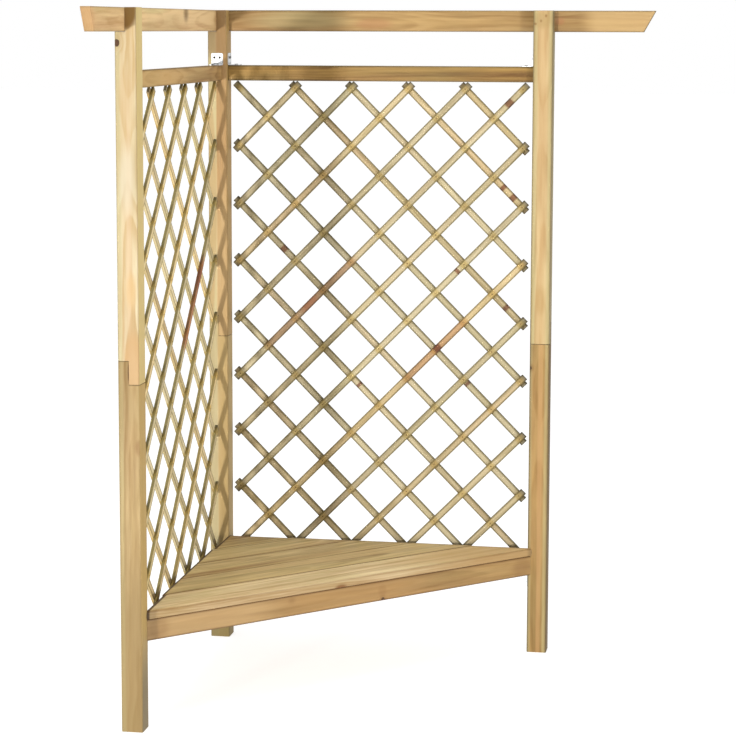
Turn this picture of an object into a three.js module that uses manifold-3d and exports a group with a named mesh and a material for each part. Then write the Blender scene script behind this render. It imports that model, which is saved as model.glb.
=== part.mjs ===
// Corner arbour seat in softwood: three posts, two trellis backs, two top beams and a
// three-cornered bench. Sizes are in millimetres and +Z is up.
// The corner post stands on the origin. The right side runs along +X, the left side along -Y.
import * as THREE from "three";
import { mergeVertices } from "three/addons/utils/BufferGeometryUtils.js";
import Module from "manifold-3d";

const wasm = await Module();
wasm.setup();

// Driving dimensions
const height = 1970;
const postPitch = 1004;
const postSide = 60;
const postArris = 4;
const railThickness = 28;
const railArris = 2.5;
const seatTop = 328;
const fitGap = 0.3;
const endGap = 0.5;

// Posts are two lengths each, halved together above the seat.
const lap = { bottom: 962, top: 1026 };

// Beams lie in open notches in the outer half of the post tops.
const beam = { height: 64, overhang: 304, endSlant: 36, arris: 1.5 };

// Top rails sit in the middle of the post thickness and the trellis hangs below them.
const topRail = { height: 47, top: 1802 };

// Trellis of crossed slats, nailed where they cross.
const trellis = {
  across: 5,
  down: 8,
  halfPitchAcross: 88,
  halfPitchDown: 89.2,
  slatWidth: 21,
  slatThickness: 8,
  tail: 20,
  pressed: 0.4,
};

// The bench is a frame of side rails, apron and centre bearer under five boards.
const benchRail = { height: 60 };
const apronReach = 10;
const boards = {
  count: 5,
  thickness: 24,
  joint: 1.8,
  nosing: 3,
  arris: 3,
  frontRadius: 8,
  endLine: 31,
  longEndLine: 24,
};

// Angle brackets of folded zinc-plated sheet with two screws in each leg.
const bracket = {
  leg: 37,
  width: 37,
  sheet: 2,
  bend: 3,
  holeRadius: 2.5,
  holeSpacing: 17,
  holeFromFold: 23,
  cornerRadius: 5,
  inset: 1,
};

// Sizes that follow from them
const postHalf = postSide / 2;
const innerFace = -postHalf;
const outerFace = postHalf;
const beamInner = outerFace - railThickness;
const beamBottom = height - beam.height;
const beamTip = postPitch + postHalf + beam.overhang;
const topRailBottom = topRail.top - topRail.height;
const boardBottom = seatTop - boards.thickness;
const frameTop = boardBottom - fitGap;
const frameBottom = frameTop - benchRail.height;
const sideRailOuter = innerFace + railThickness;
const diagonal = Math.SQRT2;
const reach = 3000;
const roundSteps = 6;
const bendSteps = 4;
const postArrisSteps = 3;
const holeSides = 12;

// Colours of the finishes
const pine = { color: 0xcdac74, roughness: 0.75, metalness: 0 };
const paleBoard = { color: 0xcdbb8c, roughness: 0.75, metalness: 0 };
const brownBoard = { color: 0xb99a63, roughness: 0.75, metalness: 0 };
const greenSlat = { color: 0xa8975f, roughness: 0.8, metalness: 0 };
const zinc = { color: 0xc2c5c7, roughness: 0.35, metalness: 0.9 };

const arbour = new THREE.Group();

function addMesh(group, name, geometry, finish) {
  const mesh = new THREE.Mesh(geometry, new THREE.MeshStandardMaterial(finish));
  mesh.name = name;
  group.add(mesh);
  return mesh;
}

// Solid modelling helpers: three.js geometry in, manifold solid out, and back.
function toSolid(geometry) {
  const bare = geometry.clone();
  bare.deleteAttribute("normal");
  bare.deleteAttribute("uv");
  const merged = mergeVertices(bare, 1e-3);
  return new wasm.Manifold(
    new wasm.Mesh({
      numProp: 3,
      vertProperties: merged.attributes.position.array,
      triVerts: new Uint32Array(merged.index.array),
    }),
  );
}

function toGeometry(solid) {
  const data = solid.getMesh();
  const geometry = new THREE.BufferGeometry();
  geometry.setAttribute("position", new THREE.BufferAttribute(data.vertProperties, 3));
  geometry.setIndex(new THREE.BufferAttribute(data.triVerts, 1));
  geometry.computeVertexNormals();
  return geometry;
}

// A box given by its low and high corners.
function boxBetween(low, high) {
  const size = high.map((value, axis) => value - low[axis]);
  const middle = high.map((value, axis) => (value + low[axis]) / 2);
  return new THREE.BoxGeometry(...size).translate(...middle);
}

function cut(geometry, ...cutters) {
  return toGeometry(
    cutters.reduce((solid, cutter) => solid.subtract(toSolid(cutter)), toSolid(geometry)),
  );
}

function keep(geometry, ...outlines) {
  return toGeometry(
    outlines.reduce((solid, outline) => solid.intersect(toSolid(outline)), toSolid(geometry)),
  );
}

// Sawn timber section with eased arrises, centred on the origin. The arris between its first side
// and its top can be a larger one.
function timberSection(width, depth, arris, steps = 2, nose = arris) {
  const x = width / 2;
  const y = depth / 2;
  const section = new THREE.Shape();
  section.absarc(x - arris, y - arris, arris, 0, Math.PI / 2);
  section.absarc(-x + nose, y - nose, nose, Math.PI / 2, Math.PI);
  section.absarc(-x + arris, -y + arris, arris, Math.PI, Math.PI * 1.5);
  section.absarc(x - arris, -y + arris, arris, Math.PI * 1.5, Math.PI * 2);
  const outline = section.getPoints(steps);
  return new THREE.Shape(outline);
}

// A section drawn in Y and Z, made into a stick of timber along +X from start to end.
function alongX(section, start, end) {
  const geometry = new THREE.ExtrudeGeometry(section, { depth: end - start, bevelEnabled: false });
  geometry.rotateX(Math.PI / 2).rotateZ(Math.PI / 2);
  return geometry.translate(start, 0, 0);
}

function stick(thickness, depth, start, end) {
  return alongX(timberSection(thickness, depth, railArris), start, end);
}

function upright(bottom, top) {
  const shape = timberSection(postSide, postSide, postArris, postArrisSteps);
  const geometry = new THREE.ExtrudeGeometry(shape, { depth: top - bottom, bevelEnabled: false });
  return geometry.translate(0, 0, bottom);
}

// Posts. innerHalf and outerHalf say which half of the section each tongue keeps.
function lowerPost(innerHalf) {
  return cut(upright(0, lap.top), innerHalf(lap.bottom, reach));
}

function upperPost(outerHalf, beamNotches) {
  return cut(upright(lap.bottom + fitGap, height), outerHalf(0, lap.top + fitGap), ...beamNotches);
}

// Half of the section on the inner side of a front post, as a cutting block.
const innerBlock = (low, high) => boxBetween([-reach, -reach, low], [reach, fitGap / 2, high]);
const outerBlock = (low, high) => boxBetween([-reach, -fitGap / 2, low], [reach, reach, high]);
const beamNotch = boxBetween(
  [-reach, beamInner - fitGap, beamBottom - fitGap],
  [reach, reach, reach],
);

function frontPost(side) {
  const lower = addMesh(side.group, `${side.name}_post_lower`, lowerPost(innerBlock), pine);
  const upper = addMesh(
    side.group,
    `${side.name}_post_upper`,
    upperPost(outerBlock, [beamNotch]),
    pine,
  );
  lower.position.x = postPitch;
  upper.position.x = postPitch;
}

function cornerPost() {
  const quarterTurn = (block) => block.rotateZ(Math.PI / 2);
  const inner = (low, high) => quarterTurn(innerBlock(low, high));
  const outer = (low, high) => quarterTurn(outerBlock(low, high));
  const notches = [beamNotch, quarterTurn(beamNotch.clone())];
  addMesh(arbour, "corner_post_lower", lowerPost(inner), pine);
  addMesh(arbour, "corner_post_upper", upperPost(outer, notches), pine);
}

// A side is drawn with X away from the corner post and Y outwards, and then turned into place.
// The left beam runs on to the outer corner and the right beam butts against it.
function makeSide(name, along, outwards, beamStart) {
  const group = new THREE.Group();
  group.applyMatrix4(new THREE.Matrix4().makeBasis(along, outwards, new THREE.Vector3(0, 0, 1)));
  arbour.add(group);
  return { name, group, beamStart };
}

function topBeam(side) {
  const profile = new THREE.Shape([
    new THREE.Vector2(side.beamStart + beam.arris, beamBottom + beam.arris),
    new THREE.Vector2(beamTip - beam.endSlant - beam.arris, beamBottom + beam.arris),
    new THREE.Vector2(beamTip - 2 * beam.arris, height - beam.arris),
    new THREE.Vector2(side.beamStart + beam.arris, height - beam.arris),
  ]);
  const geometry = new THREE.ExtrudeGeometry(profile, {
    depth: railThickness - 2 * beam.arris,
    bevelThickness: beam.arris,
    bevelSize: beam.arris,
    bevelSegments: 1,
  });
  geometry.rotateX(Math.PI / 2).translate(0, outerFace - beam.arris, 0);
  addMesh(side.group, `${side.name}_top_beam`, geometry, pine);
}

function trellisTopRail(side) {
  const start = postHalf + endGap;
  const geometry = stick(railThickness, topRail.height, start, postPitch - start);
  geometry.translate(0, 0, topRail.top - topRail.height / 2);
  addMesh(side.group, `${side.name}_trellis_rail`, geometry, pine);
}

function benchSideRail(side) {
  const start = postHalf + endGap;
  const geometry = stick(railThickness, benchRail.height, start, postPitch - start);
  const middle = innerFace + railThickness / 2;
  geometry.translate(0, middle, frameTop - benchRail.height / 2);
  addMesh(side.group, `${side.name}_bench_rail`, geometry, pine);
}

// One slat of the trellis, drawn between two crossings with a tail past each.
function slat(from, to, layer) {
  const run = new THREE.Vector2().subVectors(to, from);
  const length = run.length() + 2 * trellis.tail;
  const geometry = new THREE.BoxGeometry(length, trellis.slatThickness, trellis.slatWidth);
  geometry.rotateY(-run.angle());
  const middle = new THREE.Vector2().addVectors(from, to).multiplyScalar(0.5);
  return geometry.translate(middle.x, layer, middle.y);
}

// A trellis panel seen from the seat. Rising slats lie in front of the falling ones.
function trellisPanel() {
  const columns = 2 * trellis.across;
  const rows = 2 * trellis.down;
  const crossing = (column, row) =>
    new THREE.Vector2(
      (column - trellis.across) * trellis.halfPitchAcross,
      -row * trellis.halfPitchDown,
    );
  const layer = (trellis.slatThickness - trellis.pressed) / 2;
  const slats = [];
  for (let sum = 2; sum < columns + rows; sum += 2) {
    const first = Math.max(0, sum - rows);
    const last = Math.min(columns, sum);
    slats.push(slat(crossing(first, sum - first), crossing(last, sum - last), -layer));
  }
  for (let difference = 2 - rows; difference < columns; difference += 2) {
    const first = Math.max(0, difference);
    const last = Math.min(columns, rows + difference);
    slats.push(
      slat(crossing(first, first - difference), crossing(last, last - difference), layer),
    );
  }
  const joined = slats.map(toSolid).reduce((panel, piece) => panel.add(piece));
  return toGeometry(joined);
}

// Both panels are the same piece, turned a quarter for the left side.
function trellisPanels() {
  const geometry = trellisPanel();
  const slope = new THREE.Vector2(trellis.halfPitchAcross, trellis.halfPitchDown).normalize();
  const rise = trellis.tail * slope.y + (trellis.slatWidth / 2) * slope.x;
  const topCrossing = topRailBottom - fitGap - rise;
  const fromMiddle = sideRailOuter + fitGap + trellis.slatThickness;
  const right = addMesh(arbour, "right_trellis_panel", geometry, greenSlat);
  right.position.set(postPitch / 2, fromMiddle, topCrossing);
  const left = addMesh(arbour, "left_trellis_panel", geometry, greenSlat);
  left.position.set(-fromMiddle, -postPitch / 2, topCrossing);
  left.rotation.z = Math.PI / 2;
}

// Outline of a bracket leg with its two free corners rounded, as a block through the whole bracket.
function legBlock() {
  const { leg, width, cornerRadius } = bracket;
  const side = width / 2 - cornerRadius;
  const outline = new THREE.Shape();
  outline.moveTo(-bracket.sheet, -width / 2);
  outline.lineTo(leg - cornerRadius, -width / 2);
  outline.absarc(leg - cornerRadius, -side, cornerRadius, -Math.PI / 2, 0);
  outline.absarc(leg - cornerRadius, side, cornerRadius, 0, Math.PI / 2);
  outline.lineTo(-bracket.sheet, width / 2);
  const shape = new THREE.Shape(outline.getPoints(roundSteps));
  const block = new THREE.ExtrudeGeometry(shape, { depth: 4 * leg, bevelEnabled: false });
  return block.translate(0, 0, -2 * leg);
}

// Angle bracket with its fold along Y, one leg flat along +X and one leg up +Z.
function angleBracket() {
  const { leg, sheet, bend, width, holeRadius } = bracket;
  const section = new THREE.Shape();
  section.moveTo(leg, 0);
  section.lineTo(leg, sheet);
  section.lineTo(sheet + bend, sheet);
  section.absarc(sheet + bend, sheet + bend, bend, Math.PI * 1.5, Math.PI, true);
  section.lineTo(sheet, leg);
  section.lineTo(0, leg);
  section.lineTo(0, sheet + bend);
  section.absarc(sheet + bend, sheet + bend, sheet + bend, Math.PI, Math.PI * 1.5);
  const outline = new THREE.Shape(section.getPoints(bendSteps));
  const strip = new THREE.ExtrudeGeometry(outline, { depth: width + 2 * sheet, bevelEnabled: false });
  strip.rotateX(Math.PI / 2).translate(0, width / 2 + sheet, 0);
  const folded = keep(strip, legBlock(), legBlock().rotateY(-Math.PI / 2));
  const holes = [-1, 1].flatMap((sign) => {
    const drill = () => new THREE.CylinderGeometry(holeRadius, holeRadius, 4 * sheet, holeSides);
    const across = (sign * bracket.holeSpacing) / 2;
    return [
      drill().rotateX(Math.PI / 2).translate(bracket.holeFromFold, across, 0),
      drill().rotateZ(Math.PI / 2).translate(0, across, bracket.holeFromFold),
    ];
  });
  return cut(folded, ...holes);
}

// Four brackets on a side: two above the top rail, two below the bench rail.
function sideBrackets(side, geometry) {
  const insideFace = innerFace + bracket.inset + bracket.width / 2;
  const places = [
    { name: "trellis_rail", z: topRail.top + fitGap, up: 1, y: 0 },
    { name: "bench_rail", z: frameBottom - fitGap, up: -1, y: insideFace },
  ];
  const ends = [
    { name: "corner", x: postHalf + fitGap, facing: 1 },
    { name: "front", x: postPitch - postHalf - fitGap, facing: -1 },
  ];
  for (const place of places) {
    for (const end of ends) {
      const name = `${side.name}_${place.name}_bracket_${end.name}`;
      const mesh = addMesh(side.group, name, geometry, zinc);
      mesh.position.set(end.x, place.y, place.z);
      mesh.scale.set(end.facing, 1, place.up);
    }
  }
}

// The bench is drawn with X along its front edge and Y towards the corner post.
// Its origin is on the line between the inner corners of the front posts.
function turnToDiagonal(geometry) {
  const middle = postPitch / 2;
  return geometry.rotateZ(Math.PI / 4).translate(middle, -middle, 0);
}

// Cuts both ends of a bench piece parallel to the two sides.
function trimToSides(geometry, line) {
  const left = boxBetween([-reach, -reach, -reach], [line, reach, reach]);
  const right = boxBetween([-reach, -line, -reach], [reach, reach, reach]);
  return cut(turnToDiagonal(geometry), left, right);
}

const apronFront = -apronReach / diagonal;
const apronBack = apronFront + railThickness;
const benchCorner = (postPitch - 2 * postHalf) / diagonal;

function benchApron() {
  const half = postPitch;
  const geometry = stick(railThickness, benchRail.height, -half, half);
  geometry.translate(0, (apronFront + apronBack) / 2, frameTop - benchRail.height / 2);
  addMesh(arbour, "bench_apron", trimToSides(geometry, postHalf + fitGap), pine);
}

function benchCentreBearer() {
  const geometry = stick(railThickness, benchRail.height, apronBack + fitGap, benchCorner + postSide);
  geometry.rotateZ(Math.PI / 2).translate(0, 0, frameTop - benchRail.height / 2);
  addMesh(arbour, "bench_centre_bearer", trimToSides(geometry, postHalf + fitGap), pine);
}

// Five boards run parallel to the front edge and get shorter towards the corner. The first has a
// rounded front edge. The three middle ones reach a little further out than the first and last.
function benchBoards() {
  const front = apronFront - boards.nosing;
  const back = (postPitch - 2 * boards.endLine) / diagonal;
  const pitch = (back - front + boards.joint) / boards.count;
  const width = pitch - boards.joint;
  for (let index = 0; index < boards.count; index += 1) {
    const isFront = index === 0;
    const isOuter = isFront || index === boards.count - 1;
    const line = isOuter ? boards.endLine : boards.longEndLine;
    const section = isFront
      ? timberSection(width, boards.thickness, boards.arris, roundSteps, boards.frontRadius)
      : timberSection(width, boards.thickness, boards.arris);
    const geometry = alongX(section, -postPitch, postPitch);
    const middle = front + width / 2 + index * pitch;
    geometry.translate(0, middle, seatTop - boards.thickness / 2);
    const finish = isFront ? paleBoard : brownBoard;
    addMesh(arbour, `seat_board_${index + 1}`, trimToSides(geometry, line), finish);
  }
}

const cornerThrough = -postHalf;
const cornerButt = -beamInner + fitGap;
const sides = [
  makeSide("left", new THREE.Vector3(0, -1, 0), new THREE.Vector3(-1, 0, 0), cornerThrough),
  makeSide("right", new THREE.Vector3(1, 0, 0), new THREE.Vector3(0, 1, 0), cornerButt),
];

const bracketGeometry = angleBracket();
cornerPost();
for (const side of sides) {
  frontPost(side);
  topBeam(side);
  trellisTopRail(side);
  benchSideRail(side);
  sideBrackets(side, bracketGeometry);
}
trellisPanels();
benchApron();
benchCentreBearer();
benchBoards();

export default arbour;
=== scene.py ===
import math
import random

from typing import NamedTuple

import bmesh
import bpy
from mathutils import Matrix, Vector


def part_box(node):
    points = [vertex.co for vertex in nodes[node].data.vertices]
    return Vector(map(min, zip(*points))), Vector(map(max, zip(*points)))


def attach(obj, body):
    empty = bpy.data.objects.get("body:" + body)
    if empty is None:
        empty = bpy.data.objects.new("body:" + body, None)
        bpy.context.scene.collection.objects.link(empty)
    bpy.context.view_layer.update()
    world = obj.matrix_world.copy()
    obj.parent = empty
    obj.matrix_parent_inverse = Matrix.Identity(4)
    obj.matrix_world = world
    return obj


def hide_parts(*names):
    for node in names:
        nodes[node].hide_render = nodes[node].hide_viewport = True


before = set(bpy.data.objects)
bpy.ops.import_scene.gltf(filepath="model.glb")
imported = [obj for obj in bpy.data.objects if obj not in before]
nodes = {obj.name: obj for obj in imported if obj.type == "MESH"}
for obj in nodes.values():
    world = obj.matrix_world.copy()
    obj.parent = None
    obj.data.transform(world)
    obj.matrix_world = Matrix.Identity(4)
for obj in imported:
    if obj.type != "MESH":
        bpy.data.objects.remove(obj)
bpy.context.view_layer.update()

MM = 0.001
X = Vector((1, 0, 0))
Y = Vector((0, 1, 0))
Z = Vector((0, 0, 1))

# Camera, as the photograph was taken: at the height of the beams, to the right of the seat's middle.
IMAGE_PIXELS = 736
FOCAL_PIXELS = 2269
SHIFT_PIXELS = 68
SENSOR = 36
CAMERA_PLACE = Vector((1.6944, -6.8552, 1.9168))
CAMERA_TURN = math.radians(10.146)
CAMERA_TILT = math.radians(-6.837)
CAMERA_ROLL = math.radians(0.146)


def add_object(name, data):
    thing = bpy.data.objects.new(name, data)
    bpy.context.scene.collection.objects.link(thing)
    return thing


def add_camera():
    data = bpy.data.cameras.new("camera")
    data.sensor_width = SENSOR
    data.lens = FOCAL_PIXELS / IMAGE_PIXELS * SENSOR
    data.shift_y = -SHIFT_PIXELS / IMAGE_PIXELS
    camera = add_object("camera", data)
    level = Matrix.Rotation(CAMERA_TURN, 4, "Z") @ Matrix.Rotation(math.pi / 2 + CAMERA_TILT, 4, "X")
    camera.matrix_world = Matrix.Translation(CAMERA_PLACE) @ level @ Matrix.Rotation(CAMERA_ROLL, 4, "Z")
    bpy.context.scene.camera = camera


# Studio: a white floor and a surround that is white at the horizon and dim overhead. The key lamp stands
# low on the left, so that the left trellis shades the corner post.
HORIZON_RISE = (0.06, 0.35)
HORIZON_LIGHT = 1.0
ZENITH_LIGHT = 0.5
FLOOR_HALF = 60
FLOOR_TONE = (0.5, 0.5, 0.5, 1)
FLOOR_ROUGHNESS = 0.9
FLOOR_GLOW = 0.76
WHITE = (1, 1, 1)
WARM_WHITE = (1, 0.99, 0.96)

# Each lamp's place, what it points at, its width and height, its power in watts and its colour
LAMPS = {
    "left_softbox": ((-2.6, -8.6, 0.35), (0.2, -0.5, 1.1), (0.5, 0.5), 800, WARM_WHITE),
    "right_softbox": ((6.5, -4.0, 0.5), (0.6, -0.3, 1.0), (0.6, 0.6), 280, WARM_WHITE),
    "overhead": ((0.3, -1.6, 4.6), (0.4, -0.4, 0.3), (2.5, 2.5), 80, WHITE),
}


def add_lamp(name, place, aim, size, power, colour):
    data = bpy.data.lights.new(name, "AREA")
    data.shape = "RECTANGLE"
    data.size, data.size_y = size
    data.energy = power
    data.color = colour
    lamp = add_object(name, data)
    lamp.location = place
    lamp.rotation_euler = (Vector(aim) - Vector(place)).to_track_quat("-Z", "Y").to_euler()


def add_surround():
    world = bpy.data.worlds.new("surround")
    bpy.context.scene.world = world
    world.use_nodes = True
    tree = world.node_tree
    coordinates = tree.nodes.new("ShaderNodeTexCoord")
    height = split(tree, Wire(tree, coordinates.outputs["Generated"]))[2]
    background = tree.nodes["Background"]
    background.inputs["Color"].default_value = (*WHITE, 1)
    light = height.smooth(*HORIZON_RISE, HORIZON_LIGHT, ZENITH_LIGHT)
    plug(tree, light, background.inputs["Strength"])
    bpy.context.scene.view_settings.view_transform = "Standard"


def add_floor():
    half = FLOOR_HALF
    mesh = bpy.data.meshes.new("floor")
    corners = [(-half, -half, 0), (half, -half, 0), (half, half, 0), (-half, half, 0)]
    mesh.from_pydata(corners, [], [(0, 1, 2, 3)])
    material, _, shader = new_material("floor_paint")
    shader.inputs["Base Color"].default_value = FLOOR_TONE
    shader.inputs["Roughness"].default_value = FLOOR_ROUGHNESS
    shader.inputs["Emission Color"].default_value = (*WHITE, 1)
    shader.inputs["Emission Strength"].default_value = FLOOR_GLOW
    mesh.materials.append(material)
    floor = add_object("floor", mesh)


def add_studio():
    add_surround()
    add_floor()
    for name, settings in LAMPS.items():
        add_lamp(name, *settings)


# Shader building: short names for the nodes that the materials need
class Wire:
    """One output socket. Sums and products of wires make Math nodes."""

    def __init__(self, tree, socket):
        self.tree = tree
        self.socket = socket

    def math(self, operation, *others):
        node = self.tree.nodes.new("ShaderNodeMath")
        node.operation = operation
        for index, value in enumerate((self, *others)):
            plug(self.tree, value, node.inputs[index])
        return Wire(self.tree, node.outputs[0])

    def __add__(self, other):
        return self.math("ADD", other)

    def __sub__(self, other):
        return self.math("SUBTRACT", other)

    def __mul__(self, other):
        return self.math("MULTIPLY", other)

    def __truediv__(self, other):
        return self.math("DIVIDE", other)

    def smooth(self, low, high, start=0.0, end=1.0):
        """A soft ramp that goes from start to end while the wire goes from low to high."""
        node = self.tree.nodes.new("ShaderNodeMapRange")
        node.interpolation_type = "SMOOTHSTEP"
        names = ("Value", "From Min", "From Max", "To Min", "To Max")
        for name, value in zip(names, (self, low, high, start, end)):
            plug(self.tree, value, node.inputs[name])
        return Wire(self.tree, node.outputs[0])


def plug(tree, value, socket):
    if isinstance(value, Wire):
        tree.links.new(value.socket, socket)
    else:
        socket.default_value = value


def split(tree, vector):
    node = tree.nodes.new("ShaderNodeSeparateXYZ")
    plug(tree, vector, node.inputs[0])
    return [Wire(tree, output) for output in node.outputs]


def join(tree, x, y, z):
    node = tree.nodes.new("ShaderNodeCombineXYZ")
    for value, socket in zip((x, y, z), node.inputs):
        plug(tree, value, socket)
    return Wire(tree, node.outputs[0])


def stretch(tree, vector, scale, start=(0, 0, 0)):
    node = tree.nodes.new("ShaderNodeMapping")
    plug(tree, vector, node.inputs["Vector"])
    node.inputs["Scale"].default_value = scale
    node.inputs["Location"].default_value = start
    return Wire(tree, node.outputs[0])


def noise(tree, vector, detail=2.0, roughness=0.5):
    node = tree.nodes.new("ShaderNodeTexNoise")
    plug(tree, vector, node.inputs["Vector"])
    node.inputs["Scale"].default_value = 1
    node.inputs["Detail"].default_value = detail
    node.inputs["Roughness"].default_value = roughness
    return Wire(tree, node.outputs["Fac"])


def mix(tree, factor, first, second, blend="MIX"):
    node = tree.nodes.new("ShaderNodeMix")
    node.data_type = "RGBA"
    node.blend_type = blend
    plug(tree, factor, node.inputs["Factor"])
    plug(tree, first, node.inputs["A"])
    plug(tree, second, node.inputs["B"])
    return Wire(tree, node.outputs["Result"])


def attribute(tree, name, output="Fac"):
    node = tree.nodes.new("ShaderNodeAttribute")
    node.attribute_name = name
    return Wire(tree, node.outputs[output])


def new_material(name):
    """A new material, its node tree and its shader."""
    material = bpy.data.materials.new(name)
    material.use_nodes = True
    tree = material.node_tree
    return material, tree, tree.nodes["Principled BSDF"]


def linear(red, green, blue):
    """A colour as seen on a screen, 0 to 255, as the linear colour that a shader takes."""
    shares = [value / 255 for value in (red, green, blue)]
    channels = [part / 12.92 if part <= 0.04045 else ((part + 0.055) / 1.055) ** 2.4 for part in shares]
    return (*channels, 1)


def paint(tree, strength, colour, tone):
    """Lays a tone, as seen on a screen, over a colour."""
    return mix(tree, strength, colour, linear(*tone))


# Softwood in solid grain coordinates: X runs along the grain, Y and Z across it, in metres.
KNOT_HEART = (112, 72, 36)
KNOT_RIM = (62, 42, 22)
RED_STAIN = (176, 112, 66)
GREEN_STAIN = (160, 146, 88)
END_TONE = (160, 132, 86)
CREASE_TONE = (66, 46, 20)
RIM_TONE = (98, 84, 50)
BROWN_LINE = (112, 70, 28)

# Growth rings, and how the pith strays from a straight line
RING_WIDTH = 6.2 * MM
RING_RIPPLE = 14 * MM
PITH_WANDER = 1.7
PITH_SWAY = 45 * MM
TRUNK_TAPER = 0.006

# How fast the rings' strength and the broad bands change, as (from ring to ring, along the grain)
RING_CHANGE = (0.31, 0.4)
BAND_CHANGE = (0.2, 0.6)

# Noise of the wood, each as (fineness along the grain, fineness across it, detail, roughness)
RIPPLE_NOISE = (3.5, 18, 2.0, 0.5)
KNOT_NOISE = (150, 150, 1.0, 0.5)
FIBRE_NOISE = (9, 700, 2.0, 0.6)
STREAK_NOISE = (1.3, 45, 2.0, 0.5)
FLECK_NOISE = (7, 95, 3.0, 0.6)
GREEN_NOISE = (3.0, 12, 2.0, 0.5)
RED_NOISE = (1.6, 14, 2.0, 0.5)
SAW_NOISE = (60, 500, 3.0, 0.7)

# How much the uneven tones darken the wood
STREAK_WEIGHT = 1.3
FLECK_WEIGHT = 1.1
FIBRE_WEIGHT = 0.3

# Ramps, each as (from, to, value at from, value at to). Two numbers alone go from 0 to 1.
LATE_WOOD_RISE = (0.15, 0.78)
LATE_WOOD_END = (0.84, 1.0, 1.0, 0.0)
RING_STRENGTH = (0.3, 0.7, 0.25, 1.0)
BAND_RAMP = (0.35, 0.68)
GREEN_RAMP = (0.42, 0.72)
RED_RAMP = (0.5, 0.74)
SAW_RAMP = (0.2, 0.8, 0.45, 0.85)

# How far from a board's end its painted shade is even, and where it has run out: the shadow in the gap
# between the board's end and the trellis
LEFT_END_SHADE = (0.004, 0.0075)
RIGHT_END_SHADE = (0.004, 0.016)

# A knot: its length to its width, how uneven its outline is, its own rings, and ramps over the distance from
# its middle, which is 1 at its rim
KNOT_LENGTH = 1.25
KNOT_WOBBLE = 0.35
KNOT_RING = 1.6 * MM
KNOT_RING_RAMP = (0.1, 0.9)
KNOT_RING_DARKNESS = 0.55
KNOT_RIM_RISE = (0.72, 0.95)
KNOT_RIM_END = (1.02, 1.25, 1.0, 0.0)
KNOT_EDGE = (0.9, 1.15, 1.0, 0.0)
KNOT_HALO = (1.0, 3.2, 0.4, 0.0)

# The bend of the timber's rings round a knot: where it is full and where it ends, and its share of the size
BEND_REACH = (0.6, 4.0)
BEND_SIZE = 0.9

# Surface of the wood
WOOD_ROUGHNESS = 0.52
FIBRE_ROUGHNESS = 0.2
LATE_ROUGHNESS = 0.08
WOOD_GLOSS = 0.3
RELIEF_DEPTH = 0.4 * MM
LATE_RELIEF = 0.4
FIBRE_RELIEF = 0.5
CREASE_DARKNESS = 0.9
STAIN_RAGGEDNESS = 0.5


class Patch(NamedTuple):
    """A patch of colour on the face, a stain or painted shade where so noted, full strength inside its core
    and fading to its rim.

    Depth, where given, is the stain's place and half size through the thickness.
    """
    along: float
    across: float
    half_length: float
    half_width: float
    tone: tuple
    strength: float
    core: float = 0.35
    depth: tuple = ()


class Wood(NamedTuple):
    """How one timber looks: its tones, where its pith lies across the section, its knots and its patches.

    A knot is (along, across, radius). Tones are given as they look on the piece, and light is how strongly
    the studio lights it. Arris is how dark its arrises are, and line the tone of its lines. Border is how
    dark and wide the lines along its edges are: painted shade along the edges, such as the shadow under the
    seat's nosing on the apron, and dark joints between the seat boards. Ends is how dark the painted shade
    is at its left and its right end, where a seat board meets the trellis. Edge is how much brighter or
    darker its narrow faces are painted than its broad ones: painted light and shade for how the faces turn
    to the lamps. Relief is how deep the grain can be felt. Contrast and bands are how strong the rings and
    the broad bands are, and red and green how much of each stain there is.
    """
    pale: tuple
    dark: tuple
    pith: tuple = (0.01, -0.05)
    contrast: float = 0.42
    bands: float = 0.7
    red: float = 0.15
    green: float = 0.3
    knots: tuple = ()
    patches: tuple = ()
    seed: int = 0
    end_tone: tuple = END_TONE
    light: float = 1.0
    arris: float = 0.3
    edge: float = 1.0
    border: tuple = (0.3, 0.005)
    line: tuple = RIM_TONE
    ends: tuple = (0.0, 0.0)
    relief: float = 0.5


class Grain:
    """Grain coordinates of one timber in its material, and noise stretched along them.

    The seed moves the noise, so that no two timbers share a figure.
    """

    def __init__(self, tree, seed):
        self.tree = tree
        self.place = attribute(tree, "grain", "Vector")
        self.along, self.across, self.deep = split(tree, self.place)
        self.start = (seed * 3.1, seed * 1.7, seed * 2.3)
        self.red_start = (seed * 1.3 + 5, 9, 4)

    def noise(self, along, across, detail, roughness, start=None):
        scale = (along, across, across)
        return noise(self.tree, stretch(self.tree, self.place, scale, start or self.start), detail, roughness)


def oval_distance(along, across, middle_along, middle_across, half_length, half_width):
    """Distance from the middle of an oval on the face, 1 at its rim."""
    away = ((along - middle_along) * (1 / half_length)).math("POWER", 2.0)
    aside = ((across - middle_across) * (1 / half_width)).math("POWER", 2.0)
    return (away + aside).math("SQRT")


def pith_distance(grain, pith):
    """Distance from the pith, which wanders along the trunk, with rings a little out of round."""
    tree = grain.tree
    path = stretch(tree, join(tree, grain.along, 0.0, 0.0), (PITH_WANDER, 1, 1), grain.start)
    sway = (noise(tree, path, 1.0) - 0.5) * PITH_SWAY
    ripple = (grain.noise(*RIPPLE_NOISE) - 0.5) * RING_RIPPLE
    off_across = (grain.across - pith[0] + sway).math("POWER", 2.0)
    off_deep = (grain.deep - pith[1] - sway).math("POWER", 2.0)
    return (off_across + off_deep).math("SQRT") + ripple + grain.along * TRUNK_TAPER


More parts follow.
